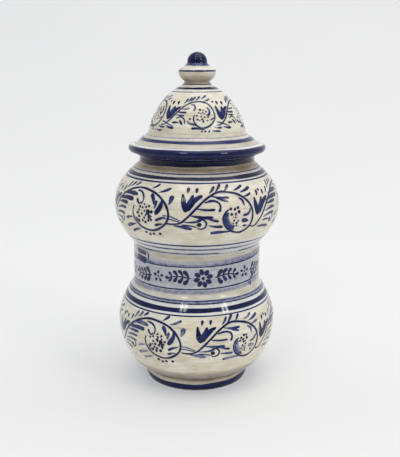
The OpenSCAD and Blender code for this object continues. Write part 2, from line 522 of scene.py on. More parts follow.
def ink_material(name):
    """Cobalt brushed on the raw glaze: deep navy where it is thick, and the glaze shows through where it is thin."""
    m, n, b = base_material(name)
    g = n.new("ShaderNodeGroup")
    g.node_tree = GLAZE
    at = n.new("ShaderNodeAttribute", attribute_name="ink")
    tc = n.new("ShaderNodeTexCoord").outputs["Object"]
    p = n.mapping(tc, (0.001 / K,) * 3)
    hair = n.noise(n.mapping(p, (0.35, 0.35, 1.0)), 900.0, 3.0, 0.6)
    pool = n.noise(p, 330.0, 3.0, 0.55)
    load = n.range(at.outputs["Fac"], 0.15, 0.60, 0.40, 1.0)
    uneven = n.math("ADD", n.math("MULTIPLY", n.range(hair, 0.3, 0.7, -0.5, 0.5), 0.13), n.math("MULTIPLY", n.range(pool, 0.3, 0.7, -0.5, 0.5), 0.20))
    d = n.math("ADD", at.outputs["Fac"], n.math("MULTIPLY", uneven, load))
    d = n.math("MAXIMUM", n.math("MINIMUM", d, 1.0), 0.0)
    blue = n.ramp(
        d,
        [
            (0.0, lin(162, 173, 190)),
            (0.20, lin(130, 144, 172)),
            (0.40, lin(80, 92, 138)),
            (0.60, lin(37, 50, 103)),
            (0.78, lin(14, 27, 80)),
            (0.92, lin(5, 15, 66)),
            # the darkest stop is deeper than the cobalt itself: painted shade, reached by the neck band in the shade of
            # the lid's flange
            (1.0, lin(3, 8, 40)),
        ],
    )
    cover = n.range(d, 0.0, 0.52, 0.0, 1.0)
    c = n.mix(cover, g.outputs[0], blue)
    n.link(c, b.inputs["Base Color"])
    r = n.math("MULTIPLY", g.outputs[1], 0.62)
    n.link(r, b.inputs["Roughness"])
    b.inputs["IOR"].default_value = 1.52
    b.inputs["Specular IOR Level"].default_value = 0.30
    glaze_bump(n, b, g.outputs[2], 0.25)
    return m


def clay_material(name):
    """Bare fired clay on the faces that stand on the kiln shelf."""
    m, n, b = base_material(name)
    tc = n.new("ShaderNodeTexCoord").outputs["Object"]
    p = n.mapping(tc, (0.001 / K,) * 3)
    a = n.noise(p, 90.0, 4.0, 0.6)
    f = n.noise(p, 1300.0, 2.0, 0.6)
    c = n.mix(n.range(a, 0.35, 0.65, 0, 1), lin(205, 170, 136), lin(184, 142, 106))
    c = n.mix(n.range(f, 0.52, 0.72, 0, 0.5), c, lin(140, 98, 68))
    c = n.mix(n.range(n.noise(p, 38.0, 2.0, 0.5), 0.55, 0.75, 0, 0.6), c, lin(120, 100, 84))
    n.link(c, b.inputs["Base Color"])
    n.link(n.range(f, 0.3, 0.7, 0.72, 0.92), b.inputs["Roughness"])
    b.inputs["IOR"].default_value = 1.45
    glaze_bump(n, b, n.math("ADD", n.math("MULTIPLY", a, 0.6), n.math("MULTIPLY", f, 0.8)), 0.5, 0.0003)
    return m


M_JAR = glaze_material("jar_tin_glaze")
M_LID = glaze_material("lid_tin_glaze")
M_KNOB = glaze_material("knob_tin_glaze")
M_FOOT = glaze_material("foot_tin_glaze")
M_INK = ink_material("cobalt_brushwork")
M_CLAY = clay_material("bare_clay")


# ------------------------------------------------------------- base pieces
def wobble(theta, z, seed):
    """The small wander of a hand-thrown wall, in mm, at most about 0.1."""
    return 0.045 * np.sin(2 * theta + 0.021 * z + seed) + 0.03 * np.sin(3 * theta - 0.034 * z + 2.1 * seed) + 0.02 * np.sin(
        0.21 * z + seed
    )


def to_world(x, y, z):
    return np.stack([x * K, y * K, z * K + Z0], -1)


def revolve(name, outline, mats, pick, sharp=42, seed=1.0, wob=1.0):
    """A closed turned piece from an outline that starts and ends on the axis, or closes on itself."""
    pts = [outline[0]]
    for p in outline[1:]:
        if math.hypot(p[0] - pts[-1][0], p[1] - pts[-1][1]) > 0.02:
            pts.append(p)
    closed_loop = pts[0][0] > 1e-6 and pts[-1][0] > 1e-6
    if closed_loop and math.hypot(pts[0][0] - pts[-1][0], pts[0][1] - pts[-1][1]) < 0.02:
        pts.pop()
    th = np.arange(SEG) * TAU / SEG
    verts, rings = [], []
    count = 0
    for r, z in pts:
        if r < 1e-6:
            verts.append(to_world(np.zeros(1), np.zeros(1), np.array([z])))
            rings.append([count])
            count += 1
        else:
            rr = r + wobble(th, z, seed) * wob * min(1.0, r / 20)
            verts.append(to_world(rr * np.sin(th), -rr * np.cos(th), np.full(SEG, z)))
            rings.append(list(range(count, count + SEG)))
            count += SEG
    co = np.concatenate(verts)
    faces, mat = [], []
    order = list(range(len(rings))) + ([0] if closed_loop else [])
    for a, b in zip(order[:-1], order[1:]):
        A, B = rings[a], rings[b]
        zc = (pts[a][1] + pts[b][1]) / 2
        rc = (pts[a][0] + pts[b][0]) / 2
        m = pick(rc, zc)
        for i in range(SEG):
            j = (i + 1) % SEG
            if len(A) == 1 and len(B) == 1:
                continue
            if len(A) == 1:
                f = (A[0], B[j], B[i])
            elif len(B) == 1:
                f = (A[i], A[j], B[0])
            else:
                f = (A[i], A[j], B[j], B[i])
            faces.append(f)
            mat.append(m)
    me = bpy.data.meshes.new(name)
    me.from_pydata([tuple(v) for v in co], [], faces)
    for m in mats:
        me.materials.append(m)
    me.polygons.foreach_set("material_index", np.array(mat, np.int32))
    me.polygons.foreach_set("use_smooth", np.ones(len(faces), bool))
    me.set_sharp_from_angle(angle=math.radians(sharp))
    me.validate()
    me.update()
    o = bpy.data.objects.new(name, me)
    bpy.context.scene.collection.objects.link(o)
    return o


def inset(pts, closed=False, d=SKIN):
    """An outline moved into its solid by d. The solid is on the left when walking up the outside."""
    p = np.array(pts, float)
    t = np.gradient(p, axis=0)
    ln = np.hypot(t[:, 0], t[:, 1]) + 1e-12
    q = p.copy()
    q[:, 0] -= d * t[:, 1] / ln
    q[:, 1] += d * t[:, 0] / ln
    return [tuple(v) for v in q]


def piece(o, node, body):
    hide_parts(node)
    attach(o, body)
    return o


REST_R = R_FOOT - 2.4 - 7.0

o_jar = [(0.0, FOOT_H)] + [(R_GROOVE - 0.15, FOOT_H)] + list(zip(skin_jar.r[2:-1:2], skin_jar.z[2:-1:2]))
o_jar += [(R_LIP - 2.2, RIM_Z - SKIN), (R_NECK - WALL + 3.0, RIM_Z - SKIN)]
jin = jar_inner()
o_jar += inset(jin)
o_jar += [(20.0, FOOT_H + FLOOR_T - 0.05), (0.0, FOOT_H + FLOOR_T)]


def pick_jar(r, z):
    return 1 if (z < FOOT_H + 0.05 and r < R_GROOVE - 0.5) else 0


jar = revolve("vessel", o_jar, [M_JAR, M_CLAY], pick_jar, seed=1.3)
piece(jar, "jar_body", "jar")

o_foot = list(zip(skin_foot.r, skin_foot.z))
o_foot[0] = (R_FOOT - 2.5, 0.0)
o_foot = [p for p in o_foot if p[1] >= 0.0]
o_foot[-1] = (R_GROOVE - 0.15, FOOT_H)
o_foot += [(42.0, FOOT_H), (R_GROOVE - 7.6, FOOT_H)]
o_foot += through([(38.1, FOOT_H - 1.0), (REST_R + 0.2, 4.0), (REST_R + 0.5, 1.2), (REST_R + 1.2, 0.0)], 4)


def pick_foot(r, z):
    return 1 if (z < 0.35 and r < R_FOOT - 1.2) or (r < R_FOOT - 6.0) else 0


foot = revolve("foot_ring_ware", o_foot, [M_FOOT, M_CLAY], pick_foot, seed=1.3, wob=0.6)
piece(foot, "foot_ring", "jar")

lin_in = lid_inner()
o_lid = list(zip(skin_lid.r, skin_lid.z))
o_lid = [(R_COLLAR - 0.05, SEAT_Z + 0.02), (R_FLANGE - FLANGE_T / 2 - 1.0, SEAT_Z + 0.02)] + o_lid[2:-1]
o_lid += [(o_lid[-1][0] - 0.05, BASE_Z), (0.0, BASE_Z)]
o_lid = [lin_in[-1]] + inset(lin_in[:-1][::-1], d=0.05) + o_lid


def pick_lid(r, z):
    return 1 if (SEAT_Z - 0.1 < z < SEAT_Z + 0.12 and R_COLLAR < r < R_FLANGE - 6.5) else 0


lid = revolve("lid_ware", o_lid, [M_LID, M_CLAY], pick_lid, seed=2.2)
piece(lid, "lid_shell", "lid")

o_knob = [(0.0, BASE_Z)] + [(max(r, 0.0), z) for r, z in zip(skin_knob.r[:-1], skin_knob.z[:-1])]
o_knob += [(0.0, TOP_Z - SKIN)]
knob = revolve("knob_ware", o_knob, [M_KNOB], lambda r, z: 0, seed=2.2, wob=0.5)
piece(knob, "lid_knob", "lid")


# ------------------------------------------------------------------ paint
class Paint:
    """Brushwork on one skin: thin closed ribbons that hug the glaze, with the glaze's own normals."""

    def __init__(self, name, skin, body, slot, seed, wob_seed, wob=1.0):
        self.name, self.skin, self.body, self.slot = name, skin, body, slot
        self.rng = random.Random(seed)
        self.wob_seed, self.wob = wob_seed, wob
        self.co, self.no, self.ink, self.faces = [], [], [], []
        self.count = 0
        self.layer = 0
        self.loaded = 0.72  # below 1, the brush carries more cobalt than each stroke asks for
        self.leaf = 1.0  # how strong the leaf strokes are beside the outlines
        self.bleed = 0.32  # how far the cobalt ran into the glaze around a stroke

    def place(self, th, s, h):
        r, z, nr, nz = self.skin.at(s)
        rr = r + wobble(th, z, self.wob_seed) * self.wob * np.minimum(1.0, r / 20) + h * nr
        zz = z + h * nz
        sn, cs = np.sin(th), np.cos(th)
        return (
            to_world(rr * sn, -rr * cs, zz),
            np.stack([nr * sn, -nr * cs, nz], -1),
        )

    def grid(self, th, s, ink, closed=False, lift=0.03):
        """th, s and ink are arrays (along, across)."""
        n, k = th.shape
        self.layer += 1
        h = lift + (0.00006 * (self.layer % 500) if lift > 0.02 else 0.0)
        crown = 1 - (np.linspace(-1, 1, k) ** 2)
        hh = h * (0.55 + 0.45 * crown)[None, :] * np.ones((n, 1))
        # a wide band needs an underside that follows the glaze, a thin line does not
        under = list(range(k)) if k > 3 else [0, k - 1]
        top, nor = self.place(th, s, hh)
        bot, nb = self.place(th[:, under], s[:, under], np.full((n, len(under)), -0.12))
        base = self.count
        co = np.concatenate([top, bot], 1)
        no = np.concatenate([nor, nb], 1)
        w = k + len(under)
        self.co.append(co.reshape(-1, 3))
        self.no.append(no.reshape(-1, 3))
        self.ink.append(np.concatenate([ink, ink[:, under]], 1).reshape(-1))
        self.count += n * w
        at = lambda i, j: base + (i % n) * w + j
        ring = list(range(k)) + list(range(w - 1, k - 1, -1))
        last = n if closed else n - 1
        for i in range(last):
            for a, b in zip(ring, ring[1:] + ring[:1]):
                self.faces.append((at(i, a), at(i, b), at(i + 1, b), at(i + 1, a)))
        if not closed:
            m = len(under)
            for i, turn in ((0, 1), (n - 1, -1)):
                if m == 2:
                    self.faces.append(tuple(at(i, j) for j in ring[::-turn]))
                    continue
                for j in range(k - 1):
                    f = (at(i, j), at(i, k + j), at(i, k + j + 1), at(i, j + 1))
                    self.faces.append(f[::turn])

    def build(self):
        if not self.co:
            return None
        me = bpy.data.meshes.new(self.name)
        co = np.concatenate(self.co)
        me.from_pydata([tuple(v) for v in co], [], self.faces)
        me.materials.append(M_INK)
        me.polygons.foreach_set("use_smooth", np.ones(len(self.faces), bool))
        a = me.attributes.new("ink", "FLOAT", "POINT")
        a.data.foreach_set("value", np.clip(np.concatenate(self.ink), 0, 1).astype(np.float32))
        me.update()
        me.normals_split_custom_set_from_vertices([tuple(v) for v in np.concatenate(self.no)])
        o = bpy.data.objects.new(self.name, me)
        bpy.context.scene.collection.objects.link(o)
        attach(o, self.body)
        return o

    # -- bands turned on the wheel
    def ring(self, z, width, ink, soft_edge=0.6, wander=0.12, uneven=0.08, across=5, s=None, lift=0.03):
        s0 = self.skin.s_of(z) if s is None else s
        n = SEG
        th = np.arange(n) * TAU / n
        ph = [self.rng.uniform(0, TAU) for _ in range(6)]
        c = s0 + TILT * float(self.skin.at(s0)[0]) * np.sin(th) + wander * (0.6 * np.sin(th + ph[0]) + 0.4 * np.sin(3 * th + ph[1]) + 0.2 * np.sin(7 * th + ph[2]))
        w = width * (1 + 0.10 * np.sin(2 * th + ph[3]) + 0.06 * np.sin(9 * th + ph[4]))
        d = ink * (1 + uneven * (np.sin(th + ph[5]) * 0.5 + 0.5 * np.sin(5 * th + ph[2]) + 0.4 * np.sin(13 * th + ph[1])))
        q = np.linspace(-1, 1, across)
        fall = 1 - (1 - soft_edge) * np.abs(q) ** 4
        # the band ends just short of the skin's own ends
        a, b = np.maximum(c - 0.5 * w, 0.03), np.minimum(c + 0.5 * w, self.skin.length - 0.03)
        S = a[:, None] + (b - a)[:, None] * (0.5 + 0.5 * q[None, :])
        T = np.repeat(th[:, None], across, 1)
        self.grid(T[::-1], S[::-1], (d[:, None] * fall[None, :])[::-1], closed=True, lift=lift)

    # -- free brushwork, in mm on the unrolled skin
    def zone(self, z_ref, r_ref, u0=0.0, scale=1.0, flip=1.0):
        self.z_s, self.z_r, self.z_u, self.z_k, self.z_f = self.skin.s_of(z_ref), r_ref, u0, scale, flip

    def stroke(self, pts, w, ink, lift=0.035, step=0.8, jitter=0.0, edge=0.5, across=None, raw=False):
        """pts: (x, y) in the zone. w: a width, or widths along the stroke. ink: the same."""
        rng = self.rng
        p = [(x + rng.uniform(-jitter, jitter), y + rng.uniform(-jitter, jitter)) for x, y in pts]
        if len(p) == 2:
            (x0, y0), (x1, y1) = p
            p = [p[0], ((x0 + x1) / 2, (y0 + y1) / 2), p[1]]
        c = np.array(through(p, 10))
        c *= self.z_k
        L = np.concatenate([[0], np.cumsum(np.hypot(*np.diff(c, axis=0).T))])
        n = max(4, int(L[-1] / step) + 1)
        t = np.linspace(0, 1, n)
        x, y = np.interp(t * L[-1], L, c[:, 0]), np.interp(t * L[-1], L, c[:, 1])
        wv = np.asarray(w, float) * np.ones(1)
        iv = np.asarray(ink, float) * np.ones(1)
        W = np.interp(t, np.linspace(0, 1, len(wv)), wv) if len(wv) > 1 else np.full(n, wv[0])
        if not raw:
            W = W * BOLD
        I = np.interp(t, np.linspace(0, 1, len(iv)), iv) if len(iv) > 1 else np.full(n, iv[0])
        if not raw:
            W = W * math.sqrt(self.z_k)
            # a loaded brush leaves rounded ends and a slightly uneven edge
            e = np.minimum(t, 1 - t) * L[-1] / np.maximum(W * 0.5, 0.05)
            W = W * np.sqrt(np.clip(1 - (1 - np.clip(e, 0, 1)) ** 2, 0.04, 1))
            a, b = rng.uniform(0, TAU), rng.uniform(0.25, 0.5)
            W = W * (1 + 0.07 * np.sin(a + b * t * L[-1]) + 0.05 * np.sin(2 * a + 1.7 * b * t * L[-1]))
            I = 1 - (1 - I) * self.loaded
            I = I * (1 + 0.08 * np.sin(a * 2 + 0.9 * b * t * L[-1]))
        th = self.z_f * (self.z_u + x) / self.z_r
        s = self.z_s + y
        r = self.skin.at(s)[0]
        tx, ty = np.gradient(th) * r, np.gradient(s)
        ln = np.hypot(tx, ty) + 1e-9
        nx, ny = -ty / ln, tx / ln
        k = across or (3 if W.max() < 0.9 else 5 if W.max() < 3.2 else 7)
        q = np.linspace(-1, 1, k)
        fall = 1 - (1 - edge) * np.abs(q) ** 3
        T = th[:, None] + 0.5 * W[:, None] * nx[:, None] * q[None, :] / r[:, None]
        S = s[:, None] + 0.5 * W[:, None] * ny[:, None] * q[None, :]
        if self.z_f < 0:
            T, S = T[:, ::-1], S[:, ::-1]
        # keep every ribbon's faces turned outwards
        self.grid(T[::-1], S[::-1], I[::-1, None] * fall[None, :], lift=lift)
        if raw or self.bleed <= 0 or W.max() < 0.5:
            return
        # the cobalt bled a little into the glaze around each stroke
        q = np.linspace(-1, 1, 5)
        H = 0.5 * W + 0.75
        T = th[:, None] + H[:, None] * nx[:, None] * q[None, :] / r[:, None]
        S = s[:, None] + H[:, None] * ny[:, None] * q[None, :]
        if self.z_f < 0:
            T, S = T[:, ::-1], S[:, ::-1]
        ends = np.minimum(1.0, 5 * np.minimum(t, 1 - t) + 0.35)
        self.grid(T[::-1][::2], S[::-1][::2], (self.bleed * np.minimum(I, 1)[::-1, None] * ends[:, None] * (1 - 0.8 * np.abs(q) ** 2)[None, :])[::2], lift=0.014)

    def comma(self, head, tail, w, ink, bend=0.0, jitter=0.25, lift=0.035):
        """A leaf stroke: pressed at the head and lifted to a thin tail."""
        (x0, y0), (x1, y1) = head, tail
        mx, my = (x0 + x1) / 2, (y0 + y1) / 2
        dx, dy = x1 - x0, y1 - y0
        m = (mx - dy * bend, my + dx * bend)
        ink *= self.leaf
        # the brush skates a little past where it was aimed
        x0, y0, x1, y1 = x0 - 0.06 * dx, y0 - 0.06 * dy, x1 + 0.14 * dx, y1 + 0.14 * dy
        head, tail = (x0, y0), (x1, y1)
        w *= 0.9
        # the cobalt dries darker along the edge of a broad stroke
        self.stroke([head, m, tail], [w * 0.8, w, w * 0.9, w * 0.6, w * 0.22], [ink * 0.9, ink * 0.84, ink * 0.8, ink * 0.8, ink * 0.85], lift, jitter=jitter, edge=1.3)

    def dot(self, x, y, r, ink=0.95, long=1.25, angle=None):
        a = self.rng.uniform(0, TAU) if angle is None else angle
        d = r * long
        r /= math.sqrt(BOLD)
        self.stroke(
            [(x - d * math.cos(a), y - d * math.sin(a)), (x + d * math.cos(a), y + d * math.sin(a))],
            2 * r, ink, 0.042, step=max(0.25, r * 0.4), edge=0.8, across=5,
        )

    def vine(self, pts, w=1.38, ink=0.99):
        self.stroke(pts, [w * 0.75, w, w, w * 1.05, w, w, w * 0.8], ink, 0.04, jitter=0.15)


def seeds(P, cx, cy, rx, ry, n, r0=1.0, ink=0.95):
    got = []
    tries = 0
    while len(got) < n and tries < 900:
        tries += 1
        a, q = P.rng.uniform(0, TAU), math.sqrt(P.rng.random())
        x, y = cx + rx * q * math.cos(a), cy + ry * q * math.sin(a)
        if all(math.hypot(x - X, y - Y) > 2.75 * r0 for X, Y in got):
            got.append((x, y))
            P.dot(x, y, r0 * P.rng.uniform(0.75, 1.15), ink, P.rng.uniform(1.0, 1.7), P.rng.uniform(0.6, 2.4))


def tulip(P, x, y, s=1.0, lean=0.0, ink=0.9):
    """Three petals from one base, with two stamens over them."""
    def q(a, b):
        return (x + s * (a + lean * b * 0.1), y + s * b)
    P.stroke([q(0, -1.5), q(-2.0, 5), q(-3.2, 11), q(-3.6, 15.5)], [s * 2.6, s * 4.0, s * 2.8, s * 1.1], [ink, ink * 0.80, ink * 0.86, ink], 0.036, edge=1.3)
    P.stroke([q(0.2, -0.5), q(2.6, 6), q(4.8, 10.5), q(6.4, 14.6)], [s * 3.0, s * 3.9, s * 2.7, s * 1.8], [ink, ink * 0.62, ink * 0.60, ink * 0.9], 0.037, edge=1.4)
    P.stroke([q(0.6, 0), q(5.0, 6.5), q(10, 11), q(15.5, 13.8)], [s * 3.0, s * 4.2, s * 3.0, s * 1.6], [ink, ink * 0.78, ink * 0.80, ink], 0.038, edge=1.3)
    P.stroke([q(-0.1, -1), q(1.2, 4), q(1.6, 7.4)], [s * 3.2, s * 3.2, s * 1.4], [ink, ink * 0.96, ink * 0.7], 0.039)
    P.comma(q(1.4, 21.4), q(0.6, 16.6), s * 2.5, 1.0, 0.05)
    P.comma(q(10.6, 21.0), q(10.0, 16.6), s * 2.6, 1.0, -0.05)


def unit_a(P, pale=0.45):
    """A full scroll that closes on a seed head."""
    P.vine([(-65, -13.5), (-59.5, -14), (-52, -7), (-45, 2), (-37, 9.5), (-27, 15.5), (-15, 19), (-3, 18), (8, 14), (16, 6.5),
            (19, -2), (16.5, -9.5), (8, -15.5), (-0.5, -17), (-9, -14.5), (-15.5, -9), (-18, -2), (-16.5, 3)])
    # leaf strokes that fan from the stem
    P.comma((-16, 12.6), (-35, 11.2), 2.9, 0.62, -0.06)
    P.comma((-20, 7.6), (-41, 6.2), 3.2, 0.86, -0.05)
    P.comma((-27, 3.6), (-41, 3.0), 2.5, 0.80, -0.03)
    P.comma((-29, -1.4), (-44, -3.2), 2.0, 0.70, -0.08)
    P.comma((-31, -6.4), (-47, -8.0), 1.9, 0.55, -0.08)
    # hook with a curled bud
    P.stroke([(-17, 16.2), (-11, 15.4), (-7.4, 12), (-6.8, 8), (-8.6, 4.8)], [0.8, 1.3, 1.3, 1.1, 0.7], 0.8, jitter=0.2)
    P.stroke([(-14.6, 9.4), (-12.6, 6.0), (-10.4, 5.2), (-8.6, 7.0)], [1.8, 1.7, 1.2, 0.8], 0.72, jitter=0.2)
    # petals inside the right half
    P.comma((1.0, 14.6), (4.8, 6.6), 3.0, 0.82, 0.08)
    P.comma((7.4, 9.4), (6.0, 3.2), 2.2, 0.78, 0.0)
    P.stroke([(12.6, 11.4), (11.6, 4.6), (6.4, -2.6)], [0.9, 2.6, 3.6, 2.4], [0.6, 0.72, 0.86, 0.9], jitter=0.2)
    P.comma((7.2, -7.6), (15.6, -4.0), 2.0, 0.88, 0.05)
    P.comma((6.2, -12.4), (13.4, -10.2), 2.0, 0.74, 0.05)
    P.comma((-9.4, -10.8), (-14.2, -6.4), 1.8, 0.66, 0.1)
    seeds(P, -4.5, -2.4, 8.6, 9.0, 21, 1.0)
    P.dot(-0.5, -1.2, 1.5, 0.95, 1.7, 1.4)
    P.dot(0.8, -5.0, 1.3, 0.95, 1.6, 1.2)
    # strokes outside the scroll
    for a, b, w, k in (
        ((-30.5, 23.0), (-34.5, 16.6), 1.9, 0.72), ((-24.5, 23.4), (-29.0, 18.4), 1.8, 0.72), ((-17.5, 24.0), (-22.6, 20.4), 1.9, 0.78),
        ((6.6, 24.4), (0.6, 20.0), 1.9, 0.80), ((19.0, 21.2), (9.0, 17.0), 2.0, 0.66), ((-37.5, 18.0), (-40.5, 12.6), 1.8, 0.66),
    ):
        P.comma(a, b, w, k, 0.05)
    P.comma((21.6, 14.6), (19.6, 7.6), 3.4, 0.55, 0.0)
    for x, y in ((-4.6, -19.8), (-0.4, -21.4), (3.6, -20.4), (10.2, -19.6)):
        P.dot(x, y, 1.15, 0.9, 1.2)
    P.comma((-28.4, -17.4), (-16.6, -13.6), 2.6, 0.46, 0.04)
    P.comma((-22.0, -21.6), (-11.6, -17.6), 2.1, 0.46, 0.04)
    P.comma((-28.0, -9.6), (-19.0, -7.4), 1.7, 0.5, 0.04)
    # bud on a side stem, left of the scroll
    P.stroke([(-50, -11), (-43, -10.6), (-37.4, -12)], 1.0, 0.7, jitter=0.2)
    P.stroke([(-37.4, -6.0), (-33.4, -7.2), (-32.6, -11), (-35.6, -14), (-39, -12.2)], [0.8, 1.1, 1.1, 1.0, 0.7], 0.7, jitter=0.15)
    P.dot(-37.6, -11.4, 1.4, 0.8)
    P.comma((-40.0, -17.6), (-54, -15.6), 2.2, 0.5, -0.05)


def unit_b(P, pale=0.45):
    """A smaller scroll that closes on a seed pod with a blue heart."""
    P.vine([(-65, -9), (-58, -9.5), (-51, -8), (-44, -2), (-36, 6), (-28, 13), (-18, 18), (-8, 17.6), (2, 14.4), (10, 8),
            (14, 0), (13.6, -8), (10, -14.6), (2, -18.4), (-7, -16.2), (-13, -11), (-15, -5), (-13, 0), (-9.4, 2.6)])
    P.stroke([(-66, -5.0), (-58.5, -5.6), (-51.5, -7.6)], 0.75, 0.72, jitter=0.1)
    P.stroke([(-67, -2.4), (-59, -3.4), (-50.5, -6.6)], 0.7, 0.62, jitter=0.1)
    # blue heart of the pod
    P.stroke([(-10.4, 0.6), (-12.2, -5.6), (-8.6, -12.4), (-4.4, -14.6)], [1.6, 4.4, 5.0, 2.2], [0.5, 0.42, 0.36, 0.42], 0.032)
    P.stroke([(-12.6, -1.6), (-13.0, -6.6), (-10.2, -11.6)], [0.8, 1.6, 0.8], 0.66)
    seeds(P, -4.2, 1.0, 4.6, 3.8, 9, 1.05)
    seeds(P, -3.6, -7.6, 2.8, 5.4, 9, 0.72)
    # strokes under the vine
    P.stroke([(-31, 8.8), (-24, 10.4), (-18.6, 8.8), (-16.8, 5.0), (-18.2, 1.0)], [0.8, 1.5, 1.3, 1.2, 2.2], 0.84, jitter=0.2)
    P.comma((-22.0, 3.0), (-37, 4.0), 1.7, 0.84, 0.04)
    P.comma((-24.4, -3.4), (-41.5, -1.6), 2.4, 0.78, 0.05)
    P.comma((-19.0, -6.8), (-27.6, -4.4), 1.9, 0.76, 0.04)
    P.comma((-34.0, -5.8), (-47, -7.2), 1.6, 0.74, 0.04)
    P.stroke([(-50, -10), (-43.5, -10.2), (-37, -11.6)], 0.95, 0.74, jitter=0.1)
    P.stroke([(-37.6, -6.2), (-33.4, -4.6), (-29.4, -7.2), (-30.0, -11.6), (-34.0, -13.2), (-37.0, -11.8)], [0.8, 1.2, 1.2, 1.1, 1.0, 0.7], 0.82)
    P.dot(-35.2, -9.4, 1.7, 0.88)
    P.comma((-42.0, -13.4), (-55.6, -11.0), 2.5, 0.56, -0.04)
    P.comma((-15.6, -11.4), (-27, -10.4), 1.9, 0.70, 0.02)
    P.comma((-24.6, -17.2), (-8.8, -16.8), 2.5, 0.56, 0.03)
    # leaves in the crown
    P.comma((-8.6, 13.0), (-24, 14.4), 1.9, 0.76, 0.06)
    P.comma((-9.6, 9.8), (-19.6, 12.6), 1.6, 0.70, 0.05)
    P.stroke([(0.4, 12.0), (4.4, 9.6), (5.4, 4.6)], [1.0, 1.9, 1.0], 0.55, jitter=0.2)
    P.stroke([(12.4, 2.4), (9.4, -2.0), (3.6, -3.6)], [0.9, 1.9, 1.2], 0.62, jitter=0.2)
    P.comma((2.4, -7.6), (9.0, -8.6), 3.2, 0.55, 0.02)
    P.comma((4.0, -12.2), (8.6, -12.6), 1.6, 0.5, 0.0)
    # strokes outside
    for a, b, w, k in (
        ((-21.0, 23.4), (-25.6, 17.4), 1.9, 0.84), ((-15.0, 25.2), (-20.0, 18.6), 1.9, 0.84), ((-7.2, 24.6), (-11.4, 19.4), 2.0, 0.80),
        ((7.4, 22.6), (-1.6, 19.0), 2.0, 0.56), ((15.6, 20.4), (5.0, 16.6), 2.3, 0.68), ((14.6, 14.6), (7.0, 12.6), 1.7, 0.66),
    ):
        P.comma(a, b, w, k, 0.05)


def frieze(P, z_ref, y_mid, r_ref, first, pitch_ab, pitch_ba, scale, n=3, tulip_ink=0.9):
    """Alternating scrolls all the way round, with a tulip in each hollow between them."""
    u = first
    for i in range(n):
        P.zone(z_ref, r_ref, u, scale)
        P.z_s += y_mid
        unit_a(P)
        tulip(P, -56.5, -3.4, 0.94, 0.6, tulip_ink)
        P.dot(-50.5, 16.5, 1.1, 0.8)
        u += pitch_ab
        P.zone(z_ref, r_ref, u, scale)
        P.z_s += y_mid
        unit_b(P)
        tulip(P, -46.2, 2.4, 0.92, 0.0, tulip_ink)
        u += pitch_ba


def lid_unit(P):
    P.vine([(-42, -9.4), (-37, -8.6), (-30.6, -3.4), (-24, 4.0), (-17, 9.6), (-9, 12.6), (0, 13.0), (7.6, 10.6), (12.0, 4.8), (12.6, -2.2),
            (8.4, -8.4), (1.4, -11.4), (-4.6, -9.6), (-8.0, -4.6), (-7.4, 0.4)], 1.0, 0.84)
    P.vine([(-41, -6.0), (-33.0, -8.4), (-27.0, -11.0)], 0.7, 0.7)
    seeds(P, 0.6, -0.6, 6.0, 6.6, 17, 0.72)
    P.stroke([(5.6, 7.6), (8.2, 3.2), (5.6, -1.0)], [0.7, 1.4, 1.6], 0.7)
    P.comma((8.0, -4.6), (11.6, -2.4), 1.0, 0.7)
    P.stroke([(-12.6, 10.0), (-8.0, 9.4), (-6.8, 6.4), (-8.6, 4.0)], [0.6, 0.9, 0.9, 1.2], 0.7)
    for a, b, w, k in (
        ((-16.0, 2.4), (-26.0, 3.0), 1.5, 0.78), ((-17.4, -0.4), (-26.4, 0.2), 1.1, 0.66), ((-12.6, 6.4), (-20.4, 5.4), 1.2, 0.55),
        ((-13.6, -7.4), (-4.6, -9.8), 1.5, 0.74), ((-9.6, -12.0), (1.0, -13.0), 1.7, 0.74), ((-28.4, -7.6), (-22.4, -7.2), 1.4, 0.84),
        ((-26.4, -11.8), (-34.4, -10.4), 1.6, 0.84), ((-7.4, 18.4), (-11.6, 14.0), 1.5, 0.5), ((-16.0, 16.4), (-19.6, 11.4), 1.5, 0.55),
        ((-11.6, 18.0), (-15.0, 12.8), 1.5, 0.52), ((-1.6, 19.0), (-6.4, 14.6), 1.5, 0.46), ((7.6, 20.0), (1.0, 16.2), 1.6, 0.46),
        ((11.0, 16.4), (4.0, 13.6), 1.4, 0.46), ((18.0, -11.4), (10.6, -10.6), 1.3, 0.6), ((16.0, -14.4), (9.0, -14.0), 1.3, 0.5),
    ):
        P.comma(a, b, w, k, 0.05)
    P.stroke([(-25.6, -3.6), (-21.0, -1.8), (-17.0, -4.2), (-16.0, -8.2)], [0.6, 1.0, 0.9, 0.6], 0.74)
    P.comma((-18.6, -8.6), (-21.6, -4.8), 1.7, 0.84)
    P.dot(-11.6, -3.6, 0.85, 0.9)
    P.dot(-12.4, -7.0, 0.8, 0.9)
    P.dot(-13.4, -6.0, 0.7, 0.9)
    for x in (-0.6, 2.4, 5.8):
        P.dot(x, -14.4, 0.7, 0.75)
    P.dot(14.4, 13.0, 0.95, 0.85)
    tulip(P, -34.2, -3.4, 0.80, -1.2, 0.86)


# -- vessel
PJ = Paint("cobalt_vessel_bands", skin_jar, "jar", "jar_glaze", 11, 1.3)
# the glaze is bluish between close lines, where the cobalt has bled into it; the two washes just above the foot groove
# are painted shade, a bluish grey in the shadow of the groove
PJ.ring(20.2, 6.6, 0.10, soft_edge=0.4, across=11, lift=0.02)
PJ.ring(14.6, 3.0, 0.30, across=7, lift=0.025)
